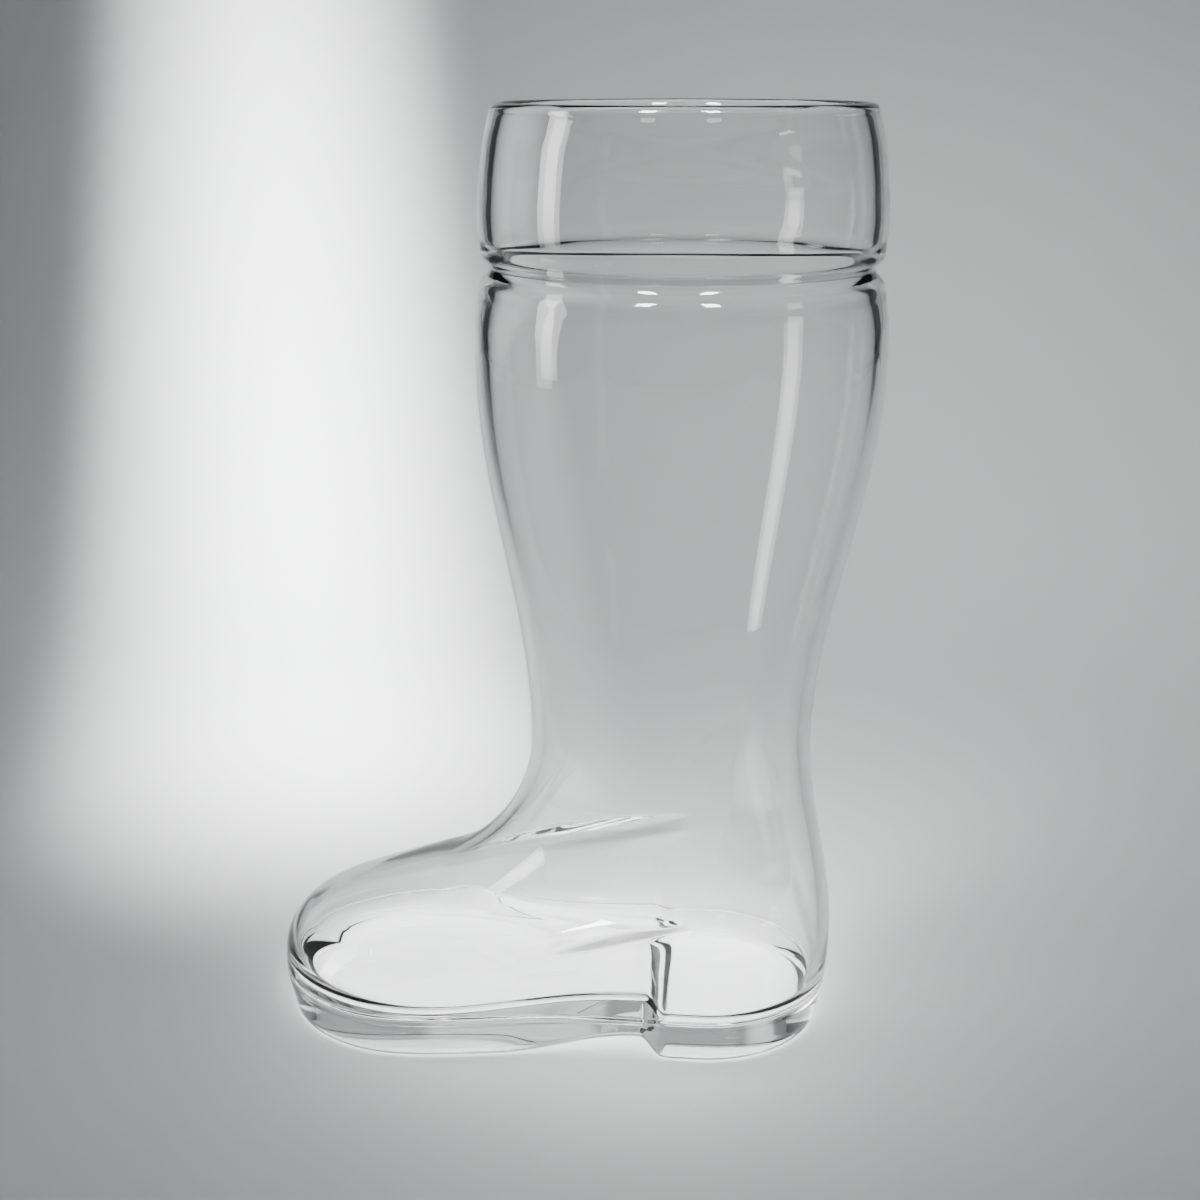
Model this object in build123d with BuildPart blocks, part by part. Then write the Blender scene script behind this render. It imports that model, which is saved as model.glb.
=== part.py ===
from build123d import *
from math import ceil, cos, pi, radians, sin, sqrt, tan
import os

# A one-litre beer boot, blown in one piece of clear glass. The sole rests on Z = 0 and the toe
# points to -X. Sizes are in millimetres, and the round shaft stands on its own vertical axis.

# Shaft, cuff and rim
height = 240.0
collar_radius = 49.8        # the shaft draws in to this at its shoulder, under the groove
rim_draw = 3.6              # the mouth, in from the collar
cuff_draw = 0.5             # the widest part of the barrel-shaped cuff, in from the collar
cuff_middle = 20.0          # rim down to that widest part
cuff_height = 36.0          # rim down to the cuff's lower edge
cuff_edge_draw = 0.9        # the lower edge, in from the collar
cuff_edge_round = 0.8
groove_depth = 2.9          # in from the collar
groove_width = 6.6          # cuff edge down to the shaft's shoulder
groove_round = 1.2
calf_radius = 50.7
calf_height = 180.0         # the shaft is widest here
ankle_radius = 36.7
ankle_height = 80.0
ankle_lean = 1.2            # the ankle stands this far towards the toe

# Foot
toe_reach = 106.8           # shaft axis to the tip of the toe
heel_reach = 42.4           # shaft axis to the back of the heel
heel_bulge_height = 25.0
ball_width = 73.0
heel_width = 66.0
waist_inset = 2.4           # each side, between ball and heel
side_length = 77.6          # the long sides of the foot between heel and toe curves
side_height = 42.0          # the sides have closed up into the instep here
toe_radius = 15.9           # side view, over the tip of the toe
toe_centre_height = 15.3
vamp_slope = 19.5           # degrees

# Sole
ledge_height = 12.0         # mould ledge round the foot, the widest line of the sole
sole_draft = 2.0            # the sole's sides lean in this far down to the table
sole_edge_height = 2.0      # the sole's lower edge curves in over this height
arch_height = 5.9
arch_start = 44.0           # shaft axis to where the arch leaves the table
heel_breast = 1.0           # shaft axis to the front face of the heel
breast_run = 6.0            # length of that sloping face
arch_round = 3.0

# Glass thickness and the inside of the foot
wall = 3.3
heel_floor = 9.5            # table to the inside floor
toe_floor = 10.5
waist_floor = 15.0
waist_rise_start = 66.0     # shaft axis to where the inside floor starts to climb
heel_step_run = 5.0         # length of the inside step down into the heel
heel_step_round = 3.0
floor_round = 6.0           # the inside walls curve in over this height to meet the floor
groove_softness = 6.0       # inside, the groove is a soft ring that starts this far above it

# Curves of the lofted sections
ring_points = 22            # points that carry each section's curve
sections = 24
foot_spacing = 0.35         # spacing of the lowest sections, as a share of the average
flat_turn = 25              # degrees, the most that a small rounding turns from flat to flat

shaft_x = (toe_reach - calf_radius) / 2     # puts the origin under the middle of the part
breast_x = shaft_x - heel_breast
ankle_front = ankle_radius + ankle_lean
ankle_back = ankle_radius - ankle_lean

rim_radius = collar_radius - rim_draw
cuff_radius = collar_radius - cuff_draw
cuff_edge_radius = collar_radius - cuff_edge_draw
groove_radius = collar_radius - groove_depth
cuff_foot = height - cuff_height
shoulder = cuff_foot - groove_width
groove_height = cuff_foot - groove_width / 3
groove_flank = (groove_height - shoulder) / groove_depth
rim_round = 0.45 * wall     # fire-polished, almost a half circle over the wall
clearance = 5.0             # how far the turned cuts run outside the glass

# Side view of the instep: a small circle over the toe and a large one in the crook of the
# ankle, joined by the straight vamp that touches both.
slope = radians(vamp_slope)
toe_centre = toe_reach - toe_radius
crook_radius = (
    (ankle_height - toe_centre_height) * cos(slope)
    - (toe_centre - ankle_front) * sin(slope)
    - toe_radius
) / (1 - sin(slope))
crook_centre = ankle_front + crook_radius


def front_reach(z, inset):
    """Distance from the shaft axis to the front of the foot at height z."""
    cap, crook = toe_radius - inset, crook_radius + inset
    cap_end = toe_centre_height + cap * cos(slope)
    if z <= toe_centre_height:
        return toe_centre + cap
    if z <= cap_end:
        return toe_centre + sqrt(cap**2 - (z - toe_centre_height) ** 2)
    if z <= ankle_height - crook * cos(slope):
        return toe_centre + cap * sin(slope) - (z - cap_end) / tan(slope)
    return crook_centre - sqrt(max(crook**2 - (ankle_height - z) ** 2, 0))


def ease(z, low, high):
    """Rises from 0 at one height to 1 at another, level at both ends."""
    return (1 - cos(pi * min(max((z - low) / (high - low), 0), 1))) / 2


def footprint(z, inset, count=14):
    """Closed outline of the boot at height z: heel circle, long sides and toe ellipse."""
    if z < ankle_height:
        bulge = cos(pi / 2 * (z - heel_bulge_height) / (ankle_height - heel_bulge_height))
        back = ankle_back + (heel_reach - ankle_back) * bulge**2 - inset
        rise = (z - ledge_height) / (ankle_height - ledge_height)
        heel = heel_width / 2 + (ankle_radius - heel_width / 2) * rise - inset
        closing = max(z - ledge_height, 0) / (side_height - inset - ledge_height)
        side = side_length * max(1 - closing**2, 0)
        ball = heel + (ball_width - heel_width) / 2 * side / side_length
        waist = waist_inset * side / side_length
        front = front_reach(z, inset)
    else:
        calf = ankle_radius + (calf_radius - ankle_radius) * ease(z, ankle_height, calf_height)
        heel = calf - (calf_radius - collar_radius) * ease(z, calf_height, shoulder) - inset
        lean = ankle_lean * (1 - ease(z, ankle_height, calf_height))
        back, front, ball, side, waist = heel - lean, heel + lean, heel, 0, 0
    heel_x, toe_x = back - heel, back - heel - side
    quarter = [pi / 2 * i / count for i in range(count + 1)]
    half = [(heel_x + heel * cos(a), heel * sin(a)) for a in quarter]
    if side > 1:
        for s in [i / count for i in range(1, count)]:
            y = heel + (ball - heel) * (3 * s**2 - 2 * s**3) - waist * sin(pi * s) ** 2
            half.append((heel_x - side * s, y))
    half += [(toe_x - (front + toe_x) * sin(a), ball * cos(a)) for a in quarter[side <= 1 :]]
    return half + [(x, -y) for x, y in half[-2:0:-1]]


def ring(z, inset):
    """The footprint as one smooth closed curve through evenly spaced points."""
    rough = Edge.make_spline(footprint(z, inset), periodic=True)
    shares = [i / ring_points for i in range(ring_points + 1)]
    even = [rough.position_at(rough.length * t, PositionMode.LENGTH) for t in shares[:-1]]
    return Edge.make_spline(even, periodic=True, parameters=shares)


def section_heights(low, top):
    """Heights of the sections, close together at the foot and steadily wider up the shaft."""
    shares = [i / sections for i in range(sections + 1)]
    return [low + (top - low) * (foot_spacing * t + (1 - foot_spacing) * t**2) for t in shares]


def sole_inset(z):
    """How far the sole lies within the ledge: its draft, and more where the edge rounds under."""
    round_under = sole_edge_height * max(1 - z / sole_edge_height, 0) ** 2
    return sole_draft * (1 - z / ledge_height) + round_under


def inner_inset(z):
    """How far the inside lies within the footprint: one wall, and more where the floor rounds up."""
    return wall + floor_round * max(1 - (z - heel_floor) / floor_round, 0) ** 2


def flats(x, z, radius, first, last):
    """Points round a small circle in equal flats, with (x, z) on the circle at 180 degrees.

    A negative radius puts the circle on the other side of that point."""
    count = ceil(abs(last - first) / flat_turn)
    turns = [radians(first + (last - first) * i / count) for i in range(count + 1)]
    return [(x + radius * (1 + cos(a)), z + radius * sin(a)) for a in turns]


def plan(z):
    return Plane((shaft_x, 0, z))


shaft_axis = Axis((shaft_x, 0, 0), (0, 0, 1))
half_plane = Plane((shaft_x, 0, 0), x_dir=(1, 0, 0), z_dir=(0, -1, 0))
side_plane = Plane.XZ.offset(-ball_width)

# Sole: drafted below the mould ledge, arched under the waist and rounded at its lower edge
with BuildPart() as sole:
    for z in (ledge_height, sole_edge_height, sole_edge_height / 3, 0):
        with BuildSketch(plan(z)):
            with BuildLine():
                add(ring(ledge_height, sole_inset(z)))
            make_face()
    loft(ruled=True)
    with BuildSketch(side_plane) as arch:
        with BuildLine():
            Polyline(
                (shaft_x - arch_start, 0),
                (breast_x - breast_run, arch_height),
                (breast_x, 0),
                close=True,
            )
        make_face()
        fillet(arch.vertices().sort_by(Axis.Y)[-1], arch_round)
    extrude(amount=2 * ball_width, mode=Mode.SUBTRACT)

# Outside of the boot: foot and shaft lofted in fine bands from footprint to footprint
with BuildPart() as outside:
    for z in section_heights(ledge_height, height):
        with BuildSketch(plan(z)):
            with BuildLine():
                add(ring(z, 0))
            make_face()
    loft(ruled=True)

    # Rounded rim, barrel-shaped cuff and the groove under it, turned out of the shaft's top.
    # The groove goes in at 45 degrees under the cuff's edge and out at 60 to the shoulder.
    with BuildSketch(half_plane):
        with BuildLine():
            ThreePointArc(
                (rim_radius, height - rim_round),
                (cuff_radius, height - cuff_middle),
                (cuff_edge_radius, cuff_foot + cuff_edge_round),
            )
            Polyline(
                *flats(cuff_edge_radius, cuff_foot + cuff_edge_round, -cuff_edge_round, 180, 135),
                *flats(groove_radius, groove_height, groove_round, 135, 210),
                (collar_radius + clearance, shoulder - clearance * groove_flank),
                (collar_radius + clearance, height + clearance),
                *flats(rim_radius, height - rim_round, -rim_round, 270, 180),
            )
        make_face()
    revolve(axis=shaft_axis, mode=Mode.SUBTRACT)
    add(sole.part)

# Inside of the boot: the same footprints, one wall further in
with BuildPart() as inside:
    for z in section_heights(heel_floor, height + clearance):
        with BuildSketch(plan(z)):
            with BuildLine():
                add(ring(z, inner_inset(z)))
            make_face()
    loft(ruled=True)

    # The floor climbs over the arch and steps down again into the heel
    with BuildSketch(side_plane) as floor:
        with BuildLine():
            Polyline(
                (shaft_x - toe_reach, 0),
                (shaft_x - toe_reach, toe_floor),
                (shaft_x - waist_rise_start, toe_floor),
                (breast_x - heel_step_run, waist_floor),
                (breast_x, heel_floor),
                (breast_x, 0),
                close=True,
            )
        make_face()
        fillet(floor.vertices().sort_by(Axis.Y)[-1], heel_step_round)
    extrude(amount=2 * ball_width, mode=Mode.SUBTRACT)

    # Inside, the cuff follows the outer barrel and the groove is a soft ring
    with BuildSketch(half_plane):
        with BuildLine():
            barrel = ThreePointArc(
                (rim_radius - wall, height - rim_round),
                (cuff_radius - wall, height - cuff_middle),
                (cuff_edge_radius - wall, cuff_foot + groove_softness),
            )
            soft_ring = Spline(
                barrel @ 1,
                (groove_radius - wall, groove_height),
                (collar_radius - wall + 1, shoulder - groove_flank - groove_softness),
                tangents=[barrel % 1, (1, -2)],
            )
            Polyline(
                soft_ring @ 1,
                (collar_radius + clearance, shoulder - groove_flank - groove_softness),
                (collar_radius + clearance, height + clearance),
                (rim_radius - wall + rim_round, height + clearance),
                *flats(rim_radius - wall, height - rim_round, rim_round, 90, 180),
            )
        make_face()
    revolve(axis=shaft_axis, mode=Mode.SUBTRACT)

# The glass between them
with BuildPart() as boot_glass:
    add(outside.part)
    add(inside.part, mode=Mode.SUBTRACT)

os.makedirs("parts", exist_ok=True)
boot_glass.part.label = "boot_glass"
export_step(boot_glass.part, "parts/boot_glass.step")
print(f"glass {boot_glass.part.volume / 1000:.0f} cm3, holds {inside.part.volume / 1e6:.2f} l to the rim")
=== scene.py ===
from math import cos, pi, radians, sin, tan

import bpy
import numpy as np
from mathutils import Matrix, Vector


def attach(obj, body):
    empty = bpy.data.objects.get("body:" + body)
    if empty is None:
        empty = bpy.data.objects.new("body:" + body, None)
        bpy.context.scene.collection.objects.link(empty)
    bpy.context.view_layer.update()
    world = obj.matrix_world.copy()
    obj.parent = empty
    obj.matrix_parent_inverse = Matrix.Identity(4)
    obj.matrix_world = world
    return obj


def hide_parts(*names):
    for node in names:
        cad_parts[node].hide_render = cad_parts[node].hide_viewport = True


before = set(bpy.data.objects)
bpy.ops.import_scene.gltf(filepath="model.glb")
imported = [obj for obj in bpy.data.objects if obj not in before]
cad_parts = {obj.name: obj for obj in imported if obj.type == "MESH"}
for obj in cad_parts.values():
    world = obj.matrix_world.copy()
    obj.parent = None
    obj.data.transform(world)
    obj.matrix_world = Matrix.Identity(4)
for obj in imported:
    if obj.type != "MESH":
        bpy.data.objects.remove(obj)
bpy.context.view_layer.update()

# The glass is one closed wall, from the sole up over the rim and down to the inner floor.
# Sizes are in millimetres from the shaft's axis and the table, with the toe towards -x.
boot = dict(
    height=240.0, calfRadius=50.665, calfHeight=180.0,
    ankleRadius=36.7, ankleHeight=80.0, ankleLean=1.2,
    toeReach=106.8, heelReach=42.4, heelBulge=25.0,
    ballWidth=73.0, heelWidth=66.0, waistInset=2.4,
    sideLength=77.6, sideHeight=42.0,
    toeRadius=15.9, toeCentre=15.3, vampSlope=19.5,
    ledge=12.0, lipHeight=1.4, lipDepth=0.35,
    draft=2.0, edgeRadius=2.0,
    archHeight=5.9, archStart=44.0, heelBreast=1.0, breastRun=6.5,
    wall=3.3,
)
boot["axisX"] = (boot["toeReach"] - boot["calfRadius"]) / 2

# outside of the cuff and groove: (radius, height) from the shaft up to the rim
cuffOutside = [
    (50.665, 184.0), (50.58, 189.0), (50.2, 192.2), (49.75, 195.0), (49.45, 197.0), (48.95, 198.5),
    (48.1, 199.5), (47.3, 200.5), (46.95, 201.6), (47.25, 202.5), (48.1, 203.2), (48.75, 204.0),
    (49.1, 205.2), (49.3, 207.5), (49.6, 211.0), (49.6, 216.0), (49.2, 221.0), (48.1, 230.4),
    (47.1, 235.0), (46.3, 238.0),
]
# inside of the same stretch, softer because the mould only shapes the outside
cuffInside = [
    (42.9, 238.2), (43.8, 235.0), (44.9, 230.0), (46.0, 221.0), (46.35, 214.0), (46.1, 208.5),
    (45.2, 204.5), (44.5, 201.5), (44.9, 198.0), (46.2, 193.0), (47.1, 188.0), (47.4, 182.0),
]
inner = dict(
    heelFloor=9.5, toeFloor=10.5, waistFloor=15.0, waistRise=66.0, heelStep=5.0,
    fallStart=26.0, cornerTop=14.0, cornerWidth=8.0, cornerHeight=6.5,
)
# how finely the wall is divided: columns round it, rows up each stretch, lines across the floors
mesh = dict(
    columns=200, across=26, outlineSteps=90, shareSteps=2001, curveSteps=24,
    edge=9, side=10, ledge=7, shaft=150, cuff=84, rim=15,
    cuffInside=60, shaftInside=110, fall=14, corner=15,
    evenShare=0.45, denser=1.6, denseAt=0.36, denseWidth=0.035,
)


def smoothStep(t):
    # 3t^2 - 2t^3: rises from 0 to 1 with level ends
    t = np.clip(t, 0, 1)
    return t * t * (3 - 2 * t)


def archLine(x):
    # height of the sole's underside: arch height times an eased rise and a steep heel breast
    b = boot
    reach = -x
    rise = smoothStep((b["archStart"] - reach) / (b["archStart"] - b["heelBreast"] - b["breastRun"]))
    drop = smoothStep((reach - b["heelBreast"]) / b["breastRun"])
    return b["archHeight"] * rise * drop


def floorLine(x):
    # height of the inside floor: toe, plus an eased climb over the arch, minus a step to the heel
    b, i = boot, inner
    reach = -x
    climb = smoothStep((i["waistRise"] - reach) / (i["waistRise"] - b["heelBreast"] - i["heelStep"]))
    upper = i["toeFloor"] + (i["waistFloor"] - i["toeFloor"]) * climb
    step = smoothStep((b["heelBreast"] + i["heelStep"] - reach) / i["heelStep"])
    return upper + (i["heelFloor"] - upper) * step


def frontReach(z, inset):
    # side view of the instep: toe circle, straight vamp, crook circle, each an inset further in
    b = boot
    slope = radians(b["vampSlope"])
    centre = b["toeReach"] - b["toeRadius"]
    front = b["ankleRadius"] + b["ankleLean"]
    crookRadius = ((b["ankleHeight"] - b["toeCentre"]) * cos(slope)
                   - (centre - front) * sin(slope) - b["toeRadius"]) / (1 - sin(slope))
    cap, crook = b["toeRadius"] - inset, crookRadius + inset
    capEnd = b["toeCentre"] + cap * cos(slope)
    crookStart = b["ankleHeight"] - crook * cos(slope)
    onCap = centre + np.sqrt(np.maximum(cap**2 - np.maximum(z - b["toeCentre"], 0) ** 2, 0))
    onVamp = centre + cap * sin(slope) - (z - capEnd) / tan(slope)
    onCrook = front + crookRadius - np.sqrt(np.maximum(crook**2 - (b["ankleHeight"] - z) ** 2, 0))
    return np.where(z <= capEnd, onCap, np.where(z <= crookStart, onVamp, onCrook))


def footprint(z, inset):
    # far half of the outline at each height, heel to toe: heel circle r cos t, r sin t, then the
    # long side with its waist, then the toe ellipse; above the ankle only a circle is left
    b = boot
    low = z < b["ankleHeight"]
    bulge = np.cos(pi / 2 * (z - b["heelBulge"]) / (b["ankleHeight"] - b["heelBulge"])) ** 2
    ankleBack = b["ankleRadius"] - b["ankleLean"]
    upShaft = np.clip((z - b["ankleHeight"]) / (b["calfHeight"] - b["ankleHeight"]), 0, 1)
    calf = (1 - np.cos(pi * upShaft)) / 2
    radius = b["ankleRadius"] + (b["calfRadius"] - b["ankleRadius"]) * calf - inset
    lean = b["ankleLean"] * (1 - calf)
    rise = (z - b["ledge"]) / (b["ankleHeight"] - b["ledge"])
    closing = np.maximum(z - b["ledge"], 0) / (b["sideHeight"] - inset - b["ledge"])
    opened = np.where(low, np.maximum(1 - closing**2, 0), 0)
    back = np.where(low, ankleBack + (b["heelReach"] - ankleBack) * bulge - inset, radius - lean)
    heelHalf = b["heelWidth"] / 2
    heel = np.where(low, heelHalf + (b["ankleRadius"] - heelHalf) * rise - inset, radius)
    front = np.where(low, frontReach(z, inset), radius + lean)
    side = b["sideLength"] * opened
    ball = heel + (b["ballWidth"] - b["heelWidth"]) / 2 * opened
    heelX = back - heel
    toeX = heelX - side
    turn = np.linspace(0, pi / 2, mesh["outlineSteps"])[None, :]
    s = np.linspace(0, 1, mesh["outlineSteps"])[None, 1:-1]
    waist = b["waistInset"] * opened * np.sin(pi * s) ** 2
    sideY = heel + (ball - heel) * smoothStep(s) - waist
    toeArcX = toeX - (front + toeX) * np.sin(turn)
    xs = np.concatenate([heelX + heel * np.cos(turn), heelX - side * s, toeArcX], 1)
    ys = np.concatenate([heel * np.sin(turn), sideY, ball * np.cos(turn)], 1)
    return xs, ys


def outline(z, inset, shares):
    # the footprint picked again at the given shares of its length, straight between its points
    xs, ys = footprint(z[:, None], inset[:, None])
    steps = np.hypot(np.diff(xs, axis=1), np.diff(ys, axis=1))
    run = np.concatenate([np.zeros_like(steps[:, :1]), np.cumsum(steps, 1)], 1)
    want = shares[None, :] * run[:, -1:]
    before = np.clip((run[:, None, :] <= want[:, :, None]).sum(-1) - 1, 0, run.shape[1] - 2)
    runBefore = np.take_along_axis(run, before, 1)
    gap = np.maximum(np.take_along_axis(run, before + 1, 1) - runBefore, 1e-9)    # never nothing
    part = np.clip((want - runBefore) / gap, 0, 1)
    x, y = (np.take_along_axis(line, before, 1) * (1 - part)
            + np.take_along_axis(line, before + 1, 1) * part for line in (xs, ys))
    y[:, 0] = 0
    y[:, -1] = 0
    return x, y


def smoothProfile(points, count):
    # Catmull-Rom cubic through (radius, height) points, evenly stepped along its length
    p = np.array(points)
    p = np.vstack([2 * p[0] - p[1], p, 2 * p[-1] - p[-2]])
    t = np.linspace(0, 1, mesh["curveSteps"], endpoint=False)[None, :, None]
    a, b, c, d = p[:-3, None], p[1:-2, None], p[2:-1, None], p[3:, None]
    square, cube = 2 * a - 5 * b + 4 * c - d, 3 * b - a - 3 * c + d
    curve = 0.5 * (2 * b + (c - a) * t + square * t**2 + cube * t**3)
    curve = np.vstack([curve.reshape(-1, 2), p[-2]])
    run = np.concatenate([[0], np.cumsum(np.hypot(*np.diff(curve, axis=0).T))])
    even = np.linspace(0, run[-1], count)
    return np.interp(even, run, curve[:, 0]), np.interp(even, run, curve[:, 1])


def spaced(share):
    # rows lie close together at the foot and steadily wider up the shaft: a t + (1 - a) t^2
    return mesh["evenShare"] * share + (1 - mesh["evenShare"]) * share**2


def glassRows():
    # every ring of the wall as (level, inset, kind, blend): level and inset choose the footprint,
    # kind and blend say how its height follows the arch or the inside floor
    b, i, m = boot, inner, mesh
    level, inset, kind, blend = [], [], [], []

    def rows(levels, insets, name, blends):
        n = max(np.size(levels), np.size(insets), np.size(blends))
        level.append(np.broadcast_to(levels, n))
        inset.append(np.broadcast_to(insets, n))
        kind.extend([name] * n)
        blend.append(np.broadcast_to(blends, n))

    # outside: the sole's rounded edge, its drafted side, the mould lip, the shaft and the cuff
    turn = np.linspace(0, pi / 2, m["edge"])
    edgeRound = b["edgeRadius"]
    rows(b["ledge"], b["draft"] + edgeRound * (1 - np.sin(turn)), "edge", edgeRound * (1 - np.cos(turn)))
    up = np.linspace(0, 1, m["side"])[1:-1]
    rows(b["ledge"], b["draft"] * (1 - up), "side", up)
    lip = np.linspace(0, 1, m["ledge"])
    rows(b["ledge"], b["lipDepth"] * (2 * lip - 1) ** 2, "ledge", (lip - 0.5) * b["lipHeight"])
    lipTop = b["ledge"] + b["lipHeight"] / 2
    shaft = np.linspace(0, 1, m["shaft"])[1:]
    rows(lipTop + (cuffOutside[0][1] - lipTop) * spaced(shaft), 0.0, "level", 0.0)
    radius, height = smoothProfile(cuffOutside, m["cuff"])
    rows(height[1:], b["calfRadius"] - radius[1:], "level", 0.0)

    # rim: half an ellipse over the wall
    outer, first = cuffOutside[-1], cuffInside[0]
    middle, half = (outer[0] + first[0]) / 2, (outer[0] - first[0]) / 2
    over = np.linspace(0, pi, m["rim"])[1:-1]
    rows(outer[1] + (b["height"] - outer[1]) * np.sin(over),
         b["calfRadius"] - (middle + half * np.cos(over)), "level", 0.0)

    # inside: the cuff, the shaft, the fall to the floor and the round corner at its foot
    radius, height = smoothProfile(cuffInside, m["cuffInside"])
    rows(height, b["calfRadius"] - radius, "level", 0.0)
    left = 1 - np.linspace(0, 1, m["shaftInside"])[1:]
    rows(i["fallStart"] + (cuffInside[-1][1] - i["fallStart"]) * spaced(left), b["wall"], "level", 0.0)
    fall = np.linspace(0, 1, m["fall"])[1:]
    rows(i["fallStart"] - (i["fallStart"] - i["cornerTop"]) * fall, b["wall"], "fall", fall)
    turn = np.linspace(0, pi / 2, m["corner"])[1:]
    rows(i["cornerTop"], b["wall"] + i["cornerWidth"] * (1 - np.cos(turn)), "corner",
         i["cornerHeight"] * (1 - np.sin(turn)))
    return np.concatenate(level), np.concatenate(inset), np.array(kind), np.concatenate(blend)


def columnShares(half):
    # shares of the outline's length where columns stand, closer together beside the heel breast:
    # their density is 1 + d exp(-((t - t0) / w)^2)
    m = mesh
    t = np.linspace(0, 1, m["shareSteps"])
    density = 1 + m["denser"] * np.exp(-(((t - m["denseAt"]) / m["denseWidth"]) ** 2))
    cumulative = np.concatenate([[0], np.cumsum((density[1:] + density[:-1]) / 2)])
    return np.interp(np.linspace(0, cumulative[-1], half + 1), cumulative, t)


def glassGrid():
    # rings of the wall, each heel to toe and back, with heights set by kind
    b, i = boot, inner
    level, inset, kind, blend = glassRows()
    half = mesh["columns"] // 2
    x, y = outline(level, inset, columnShares(half))
    z = np.repeat(level[:, None], half + 1, 1)
    k, s = kind[:, None], blend[:, None]
    arch, floor = archLine(x), floorLine(x)
    edgeTop, lipFoot = arch + b["edgeRadius"], b["ledge"] - b["lipHeight"] / 2
    z = np.where(k == "edge", arch + s, z)
    z = np.where(k == "side", edgeTop + (lipFoot - edgeTop) * s, z)
    z = np.where(k == "ledge", b["ledge"] + s, z)
    z = np.where(k == "fall", i["fallStart"] + (floor + i["cornerHeight"] - i["fallStart"]) * s, z)
    z = np.where(k == "corner", floor + s, z)
    x = np.concatenate([x, x[:, -2:0:-1]], 1)
    y = np.concatenate([y, -y[:, -2:0:-1]], 1)
    z = np.concatenate([z, z[:, -2:0:-1]], 1)
    return x, y, z


def fillAcross(x, y, heightLine):
    # points of the cross lines that join each column to its mirror image, (x, y w, height of x)
    half, across = mesh["columns"] // 2, mesh["across"]
    w = np.linspace(1, -1, across + 1)[None, 1:-1]
    cx = np.repeat(x[1:half, None], across - 1, 1)
    cy = y[1:half, None] * w
    return np.stack([cx, cy, heightLine(cx)], -1).reshape(-1, 3)


def fillFaces(row, start, step):
    # faces of one filled ring, a fan at heel and toe and quads between the cross lines; a step of
    # -1 turns them over
    columns, across = mesh["columns"], mesh["across"]
    half = columns // 2
    index = start + np.arange((half - 1) * (across - 1)).reshape(half - 1, across - 1)
    near = row * columns + (columns - np.arange(1, half))
    far = row * columns + np.arange(1, half)
    lines = np.concatenate([far[:, None], index, near[:, None]], 1)
    quads = np.stack([lines[:-1, :-1], lines[:-1, 1:], lines[1:, 1:], lines[1:, :-1]], -1)
    heelTip = np.full(across, row * columns)
    toeTip = np.full(across, row * columns + half)
    heelFan = np.stack([heelTip, lines[0, 1:], lines[0, :-1]], -1)
    toeFan = np.stack([toeTip, lines[-1, :-1], lines[-1, 1:]], -1)
    return quads.reshape(-1, 4)[:, ::step], [heelFan[:, ::step], toeFan[:, ::step]]


def enclosed(points, faces):
    # sum of a . (b x c) / 6 over the triangles of each face: positive when faces point outwards
    total = 0.0
    for i in range(1, faces.shape[1] - 1):
        a, b, c = points[faces[:, 0]], points[faces[:, i]], points[faces[:, i + 1]]
        total += np.einsum("ij,ij->", a, np.cross(b, c)) / 6
    return total


def makeGlass():
    # grid of rings and columns closed round the wall, with the sole and the inside floor filled
    x, y, z = glassGrid()
    rings, columns = x.shape
    points = [np.stack([x, y, z], -1).reshape(-1, 3)]
    ring = np.arange(rings - 1)[:, None] * columns
    col = np.arange(columns)[None, :]
    nextCol = (col + 1) % columns
    above = ring + columns
    quads = [np.stack([ring + col, ring + nextCol, above + nextCol, above + col], -1).reshape(-1, 4)]
    start, tris = rings * columns, []
    for row, line, step in ((0, archLine, 1), (rings - 1, floorLine, -1)):
        points.append(fillAcross(x[row], y[row], line))
        fill, fans = fillFaces(row, start, step)
        quads.append(fill)
        tris += fans
        start += len(points[-1])
    points, quads, tris = np.concatenate(points), np.concatenate(quads), np.concatenate(tris)
    points[:, 0] += boot["axisX"]
    volume = (enclosed(points, quads) + enclosed(points, tris)) / 1000
    print("glass", len(points), "points", len(quads) + len(tris), "faces, volume cm3", round(volume, 1))
    return meshPiece("bootGlassWall", points / 1000, quads, tris)


def meshPiece(name, points, quads, tris):
    # one smooth mesh object at the origin from arrays of points, quads and triangles
    data = bpy.data.meshes.new(name)
    data.vertices.add(len(points))
    data.vertices.foreach_set("co", points.astype(np.float32).ravel())
    loops = np.concatenate([quads.ravel(), tris.ravel()])
    sizes = np.concatenate([np.full(len(quads), 4), np.full(len(tris), 3)])
    data.loops.add(len(loops))
    data.loops.foreach_set("vertex_index", loops.astype(np.int32))
    data.polygons.add(len(sizes))
    data.polygons.foreach_set("loop_start", (np.cumsum(sizes) - sizes).astype(np.int32))
    data.polygons.foreach_set("loop_total", sizes.astype(np.int32))
    data.polygons.foreach_set("use_smooth", np.ones(len(sizes), bool))
    data.update(calc_edges=True)
    data.validate()
    piece = bpy.data.objects.new(name, data)
    bpy.context.scene.collection.objects.link(piece)
    return piece


glassLook = dict(ior=1.5, tint=(0.90, 0.95, 0.93, 1), density=2.2)


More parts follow.
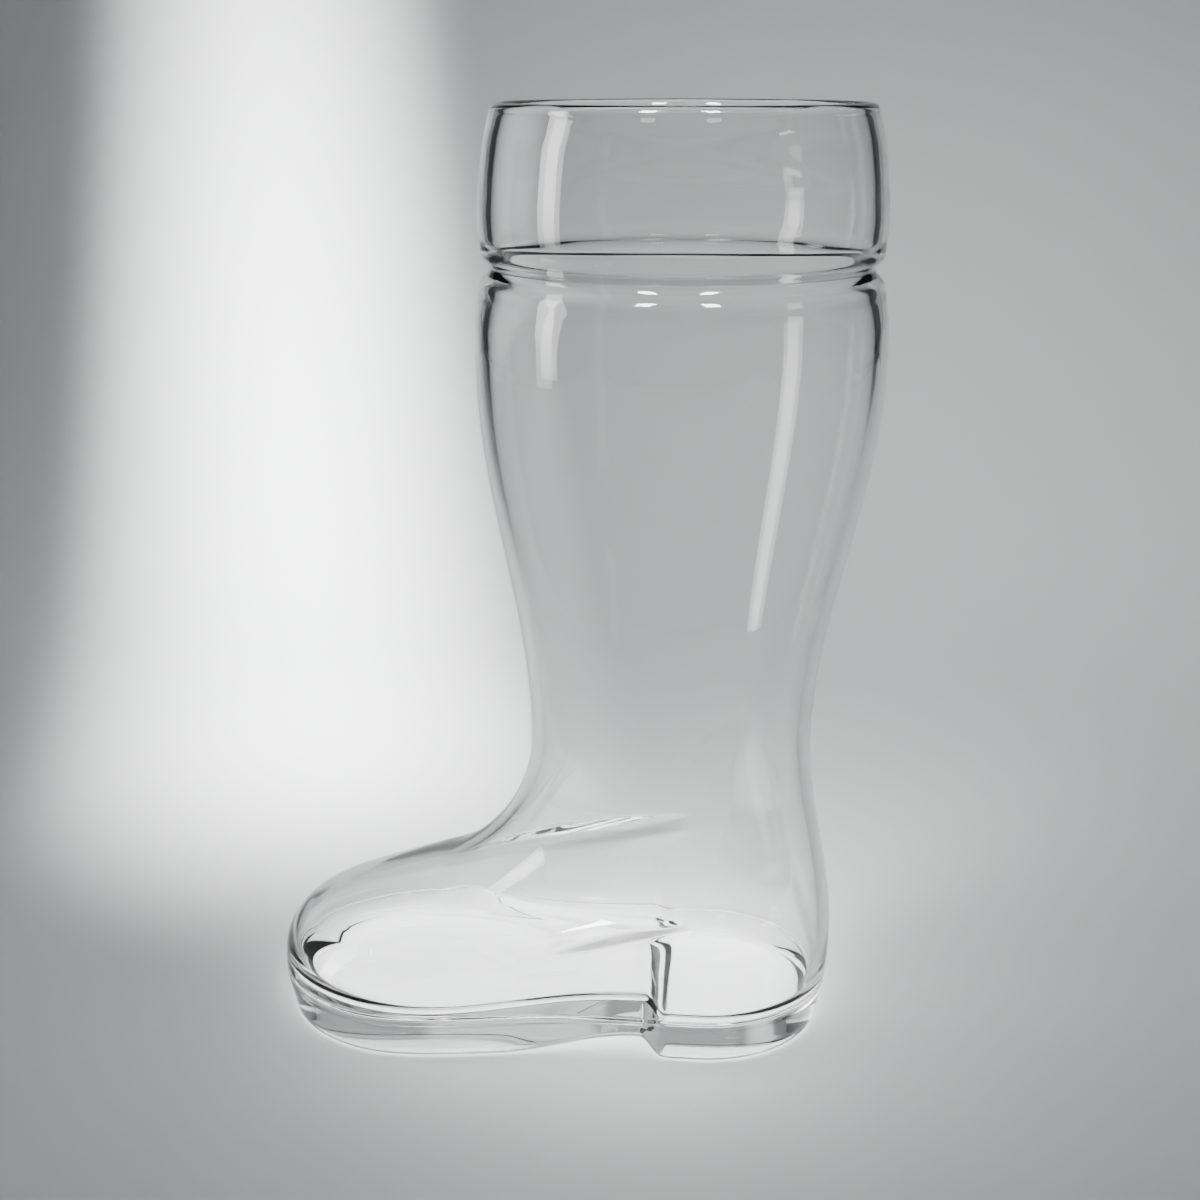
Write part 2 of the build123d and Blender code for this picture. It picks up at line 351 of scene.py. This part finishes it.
def clearGlass():
    # soda-lime glass: smooth, slightly grey-green through its thickness
    mat = bpy.data.materials.new("clearGlass")
    mat.use_nodes = True
    nodes, links = mat.node_tree.nodes, mat.node_tree.links
    shader = nodes["Principled BSDF"]
    shader.inputs["Base Color"].default_value = (1, 1, 1, 1)
    shader.inputs["Roughness"].default_value = 0.0
    shader.inputs["IOR"].default_value = glassLook["ior"]
    shader.inputs["Transmission Weight"].default_value = 1.0
    absorb = nodes.new("ShaderNodeVolumeAbsorption")
    absorb.inputs["Color"].default_value = glassLook["tint"]
    absorb.inputs["Density"].default_value = glassLook["density"]
    links.new(absorb.outputs["Volume"], nodes["Material Output"].inputs["Volume"])
    return mat


glass = makeGlass()
glass.data.materials.append(clearGlass())
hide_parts("boot_glass")
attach(glass, "root")
glass.visible_shadow = False        # clear glass lets the studio light through to the paper

# The studio, in metres: a pale floor that curves up behind the glass as a backdrop.
studio = dict(gap=0.0004, floor=0.9, flat=0.30, bend=0.30, top=1.0, left=-0.44, right=0.42,
              columns=9, bendSteps=25, paper=(0.72, 0.73, 0.74, 1), roughness=0.7,
              air=(0.62, 0.64, 0.66, 1), airStrength=0.05)


def sheet(name, y, z, left, right, mat):
    # a side view of heights z over y, drawn out along X from left to right
    x = np.linspace(left, right, studio["columns"])
    rows, columns = len(y), len(x)
    points = np.stack(np.broadcast_arrays(x[None, :], y[:, None], z[:, None]), -1).reshape(-1, 3)
    first = np.arange(rows - 1)[:, None] * columns + np.arange(columns - 1)[None, :]
    quads = np.stack([first, first + 1, first + columns + 1, first + columns], -1).reshape(-1, 4)
    data = bpy.data.meshes.new(name)
    data.from_pydata(points.tolist(), [], quads.tolist())
    data.polygons.foreach_set("use_smooth", np.ones(len(data.polygons), bool))
    data.materials.append(mat)
    piece = bpy.data.objects.new(name, data)
    bpy.context.scene.collection.objects.link(piece)


def makeStudio():
    # the middle of the floor turns up in a quarter circle, y = flat + r sin t, z = r (1 - cos t),
    # and stands as the backdrop; its two sides stay flat
    s = studio
    mat = bpy.data.materials.new("palePaper")
    mat.use_nodes = True
    shader = mat.node_tree.nodes["Principled BSDF"]
    shader.inputs["Base Color"].default_value = s["paper"]
    shader.inputs["Roughness"].default_value = s["roughness"]
    turn = np.linspace(0, pi / 2, s["bendSteps"])
    y = np.concatenate([[-s["floor"]], s["flat"] + s["bend"] * np.sin(turn), [s["flat"] + s["bend"]]])
    z = np.concatenate([[0], s["bend"] * (1 - np.cos(turn)), [s["top"]]]) - s["gap"]
    sheet("paleMiddle", y, z, s["left"], s["right"], mat)
    y, z = np.array([-s["floor"], s["floor"]]), np.full(2, -s["gap"])
    sheet("paleLeft", y, z, -s["floor"], s["left"], mat)
    sheet("paleRight", y, z, s["right"], s["floor"], mat)
    world = bpy.data.worlds.new("studioAir")
    bpy.context.scene.world = world
    world.use_nodes = True
    background = world.node_tree.nodes["Background"]
    background.inputs["Color"].default_value = s["air"]
    background.inputs["Strength"].default_value = s["airStrength"]


# Soft lights: place and target in metres, size (wide, long), power in watts, spread in degrees.
# The two windows are seen in the glass, and light the paper only through it.
lights = dict(
    topSoftbox=dict(place=(0.08, 0.42, 1.0), size=(0.5, 0.2), power=1.05,
                    target=(0.12, 0.50, 0.0), spread=70, onPaper=True),
    backdropGlow=dict(place=(-0.070, 0.02, 1.0), size=(0.03, 0.70), power=2.1,
                      target=(-0.186, 0.44, 0.10), spread=13, onPaper=True),
    leftStrip=dict(place=(-0.80, -0.22, 0.30), size=(0.18, 0.60), power=0.6,
                   target=(0.0, 0.0, 0.12), spread=60, onPaper=True),
    windowLeft=dict(place=(-0.29, -0.84, 1.0), size=(0.16, 0.45), power=30,
                    target=(0.0, 0.0, 0.12), spread=180, onPaper=False),
    windowRight=dict(place=(0.35, -0.84, 1.0), size=(0.16, 0.45), power=30,
                     target=(0.0, 0.0, 0.12), spread=180, onPaper=False),
)


def addLight(name, values):
    # a rectangle of light at its place, turned so that it faces its target
    light = bpy.data.lights.new(name, "AREA")
    light.shape = "RECTANGLE"
    light.size, light.size_y = values["size"]
    light.energy = values["power"]
    light.spread = radians(values["spread"])
    lamp = bpy.data.objects.new(name, light)
    lamp.location = values["place"]
    towards = Vector(values["target"]) - Vector(values["place"])
    lamp.rotation_euler = towards.to_track_quat("-Z", "Y").to_euler()
    lamp.visible_diffuse = values["onPaper"]
    bpy.context.scene.collection.objects.link(lamp)


makeStudio()
for lightName in lights:
    addLight(lightName, lights[lightName])
print("studio with", len(lights), "lights")

# The camera stands where the photograph was taken from, 17 degrees down.
shot = dict(distance=0.4324, height=0.2482, azimuth=2.0, heading=-4.636, pitch=16.98,
            lens=52.5, sensor=36.0, nearest=0.01, farthest=20)


def addCamera():
    # looks along (sin h cos p, cos h cos p, -sin p) from a circle round the shaft's axis
    c = shot
    a, p, h = radians(c["azimuth"]), radians(c["pitch"]), radians(c["heading"])
    cam = bpy.data.cameras.new("camera")
    cam.lens, cam.sensor_width, cam.sensor_fit = c["lens"], c["sensor"], "HORIZONTAL"
    cam.clip_start, cam.clip_end = c["nearest"], c["farthest"]
    body = bpy.data.objects.new("camera", cam)
    axisX = boot["axisX"] / 1000
    body.location = (axisX + c["distance"] * sin(a), -c["distance"] * cos(a), c["height"])
    ahead = Vector((sin(h) * cos(p), cos(h) * cos(p), -sin(p)))
    body.rotation_euler = ahead.to_track_quat("-Z", "Y").to_euler()
    bpy.context.scene.collection.objects.link(body)
    bpy.context.scene.camera = body


addCamera()
print("camera", shot["lens"], "mm lens,", shot["pitch"], "degrees down")
